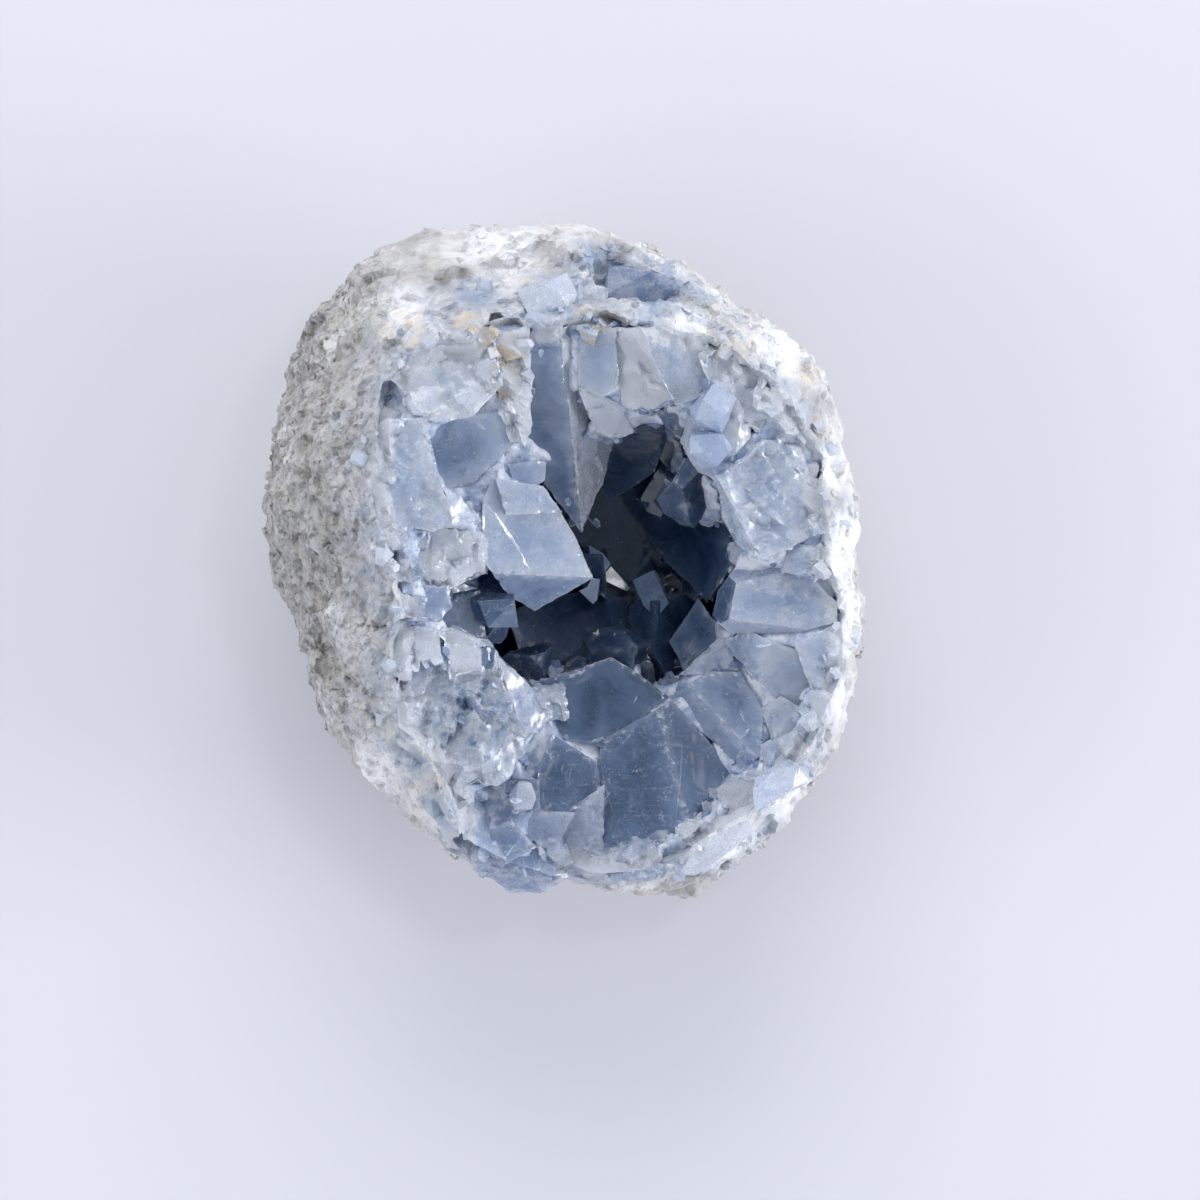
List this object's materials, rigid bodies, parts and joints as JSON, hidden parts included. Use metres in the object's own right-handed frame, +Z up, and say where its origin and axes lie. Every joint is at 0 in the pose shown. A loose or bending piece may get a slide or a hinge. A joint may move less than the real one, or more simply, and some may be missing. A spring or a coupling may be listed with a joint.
{
  "type": "celestite geode",
  "caption": "Rounded geode broken open at the top, with blue celestite crystals lining a deep hollow in a rough pale rock rind.",
  "frame": {"origin": "under the middle of the stone, on the surface it rests on", "axes": "+Z up out of the broken mouth, +Y along the stone's longest way across, +X to the low side of the mouth"},
  "size_m": [0.0908, 0.1018, 0.0603],
  "materials": {
    "rind_rock": "rough, granular",
    "celestite": "glassy, milky in places"
  },
  "bodies": {
    "root": {"rind": "rind_rock", "crystal_crust": "celestite"}
  },
  "joints": []
}
